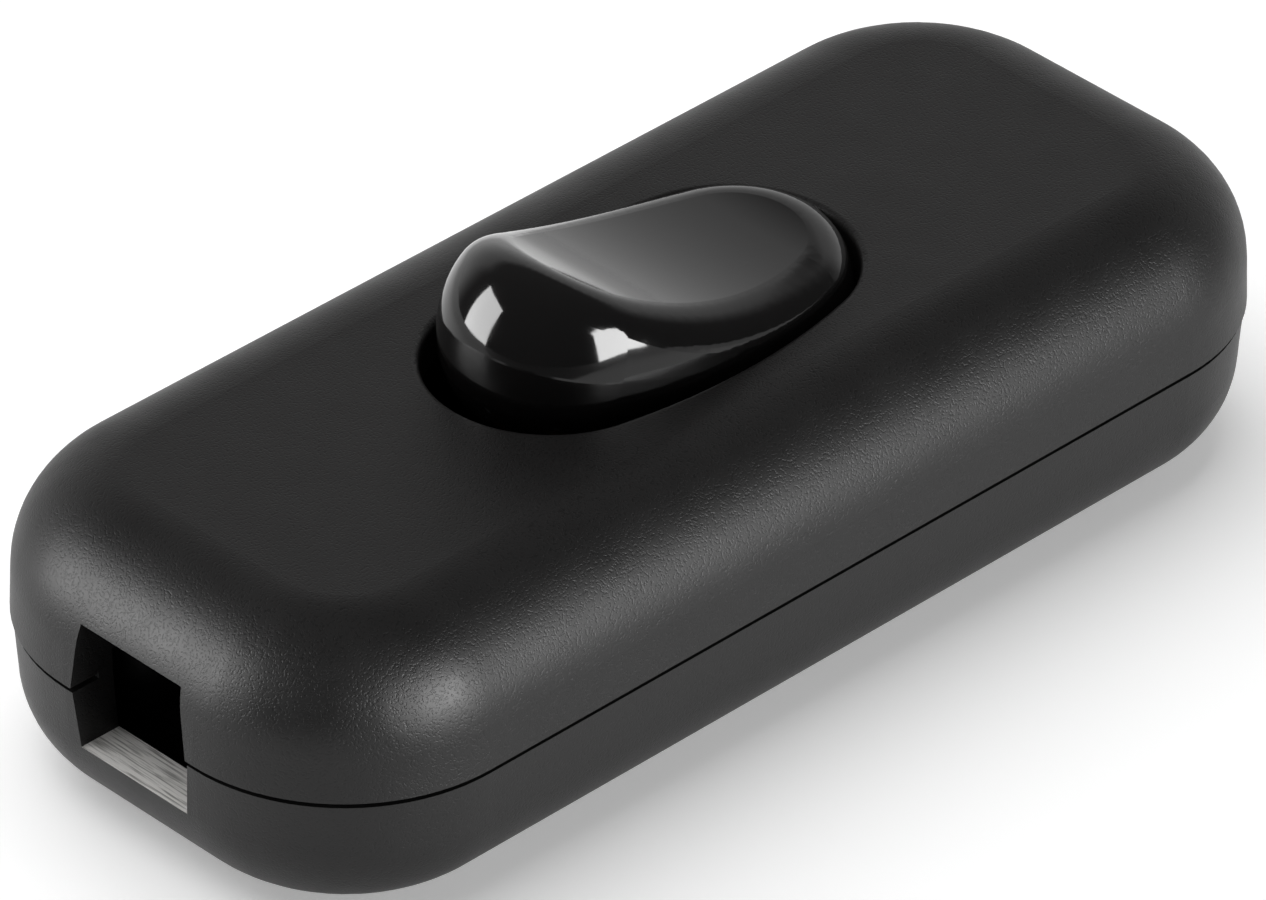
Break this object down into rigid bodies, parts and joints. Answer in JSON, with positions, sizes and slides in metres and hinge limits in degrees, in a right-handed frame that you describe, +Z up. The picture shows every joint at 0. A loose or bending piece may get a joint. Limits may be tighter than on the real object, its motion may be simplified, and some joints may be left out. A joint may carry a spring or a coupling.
{
  "type": "inline cord switch",
  "caption": "Pillow-shaped plastic inline cord switch with a scooped oval rocker in its top, a cord mouth at each end, and a see-saw contact and screw terminals inside.",
  "frame": {"origin": "middle of the underside, on the table it lies on", "axes": "+X along the switch towards its far cord mouth, the end away from the raised end of the rocker; +Z up, through the rocker; +Y across"},
  "size_m": [0.062, 0.0264, 0.0205],
  "materials": {
    "case_plastic": "matte black moulding with a fine spark-eroded texture",
    "rocker_plastic": "polished black",
    "clamp_plastic": "plain dark moulding",
    "nylon": "natural nylon, smooth",
    "brass": "pressed, unplated",
    "silver": "silver contact rivet",
    "steel": "bright zinc plate"
  },
  "bodies": {
    "case": {"upper_cover": "case_plastic", "lower_base": "case_plastic", "fixed_contact": "silver", "pivot_terminal": "brass", "contact_terminal": "brass", "neutral_link": "brass", "terminal_screws": "steel", "clamp_screws": "steel", "case_screws": "steel", "cord_clamp_near": "clamp_plastic", "cord_clamp_far": "clamp_plastic", "wire_clamp_1": "brass", "wire_clamp_2": "brass", "wire_clamp_3": "brass", "wire_clamp_4": "brass"},
    "rocker": {"rocker": "rocker_plastic", "plunger_spring": "steel"},
    "plunger": {"plunger": "nylon"},
    "contact": {"contact_arm": "brass", "moving_contact": "silver"}
  },
  "joints": [
    {"name": "rocker_tilt", "type": "hinge", "parent": "case", "child": "rocker", "pos_m": [0, 0, 0.0132], "axis": [0, 1, 0], "range_deg": [-30, 0]},
    {"name": "plunger_slide", "type": "slide", "parent": "rocker", "child": "plunger", "axis": [0.2588, 0, 0.9659], "range_m": [0, 0.0005], "stiffness_N_per_m": 800, "deforming": ["plunger_spring"]},
    {"name": "contact_tilt", "type": "hinge", "parent": "case", "child": "contact", "pos_m": [0, 0, 0.0039], "axis": [0, 1, 0], "range_deg": [0, 16]}
  ],
  "couplings": [
    {"joint": "contact_tilt", "follows": "rocker_tilt", "ratio": -0.53333}
  ]
}
